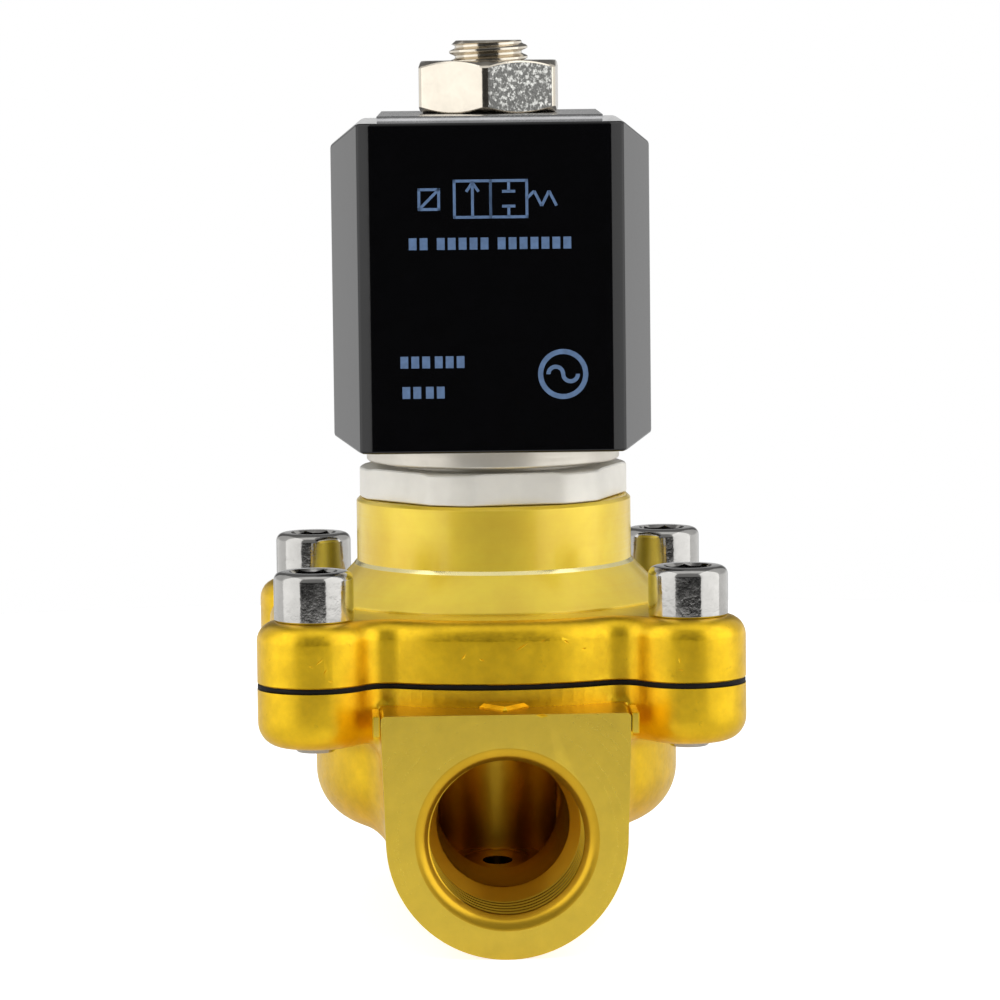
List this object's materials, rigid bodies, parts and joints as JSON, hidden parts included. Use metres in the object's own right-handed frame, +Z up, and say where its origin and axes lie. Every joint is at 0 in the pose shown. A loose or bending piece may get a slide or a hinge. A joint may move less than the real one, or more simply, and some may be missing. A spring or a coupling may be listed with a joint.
{
  "type": "solenoid valve",
  "caption": "Two-way solenoid valve: forged brass body with threaded ports, screwed-on bonnet with a clamped diaphragm, and a moulded coil held by a nut.",
  "frame": {"origin": "on the flow axis, where the inlet port's thread begins, 0.6 mm inside the port's face", "axes": "+Y out of the inlet port, so flow runs towards -Y; +Z up along the stem towards the coil; +X to the right of somebody who looks into the outlet port"},
  "size_m": [0.0594, 0.0686, 0.1096],
  "materials": {
    "forged_brass": "satin forged and blasted, with turned faces",
    "turned_brass": "turned",
    "nickel_satin": "satin nickel plate over turned brass",
    "nickel_bright": "bright nickel plate",
    "plated_screws": "bright plate, a little mottled",
    "yoke_steel": "zinc-plated steel strip",
    "stainless": "turned ferritic stainless",
    "spring_steel": "drawn spring wire",
    "coil_resin": "glossy moulded resin",
    "bobbin_plastic": "moulded",
    "copper": "enamelled wire",
    "black_rubber": "moulded rubber",
    "print_ink": "pad-printed ink"
  },
  "bodies": {
    "housing": {"valve_body": "forged_brass", "bonnet": "forged_brass", "diaphragm": "black_rubber", "cap_screws": "plated_screws", "plunger_spring": "spring_steel", "armature_tube": "stainless", "fixed_core": "nickel_bright", "shading_ring": "copper", "tube_o_ring": "black_rubber", "ring_nut": "nickel_satin", "base_washer": "nickel_satin", "coil_nut": "nickel_bright"},
    "armature": {"plunger": "stainless", "plunger_seal": "black_rubber"},
    "diaphragm_core": {"lower_plate": "stainless", "lift_cup": "stainless", "pilot_nozzle": "turned_brass", "nozzle_nut": "turned_brass"},
    "coil": {"coil_moulding": "coil_resin", "bobbin": "bobbin_plastic", "winding": "copper", "lead_wires": "copper", "yoke_bracket": "yoke_steel", "yoke_base_plate": "yoke_steel", "terminal_blades": "nickel_satin", "earth_blade": "nickel_satin", "connector_insert": "turned_brass"}
  },
  "joints": [
    {"name": "plunger_lift", "type": "slide", "parent": "housing", "child": "armature", "axis": [0, 0, 1], "range_m": [0, 0.0045], "stiffness_N_per_m": 250, "springref_m": -0.012, "deforming": ["plunger_spring"]},
    {"name": "diaphragm_lift", "type": "slide", "parent": "housing", "child": "diaphragm_core", "axis": [0, 0, 1], "range_m": [0, 0.003], "deforming": ["diaphragm"]},
    {"name": "coil_swivel", "type": "hinge", "parent": "housing", "child": "coil", "pos_m": [0, -0.0337, 0.065], "axis": [0, 0, 1], "continuous": true}
  ],
  "couplings": [
    {"joint": "diaphragm_lift", "follows": "plunger_lift", "ratio": 0.66667}
  ]
}
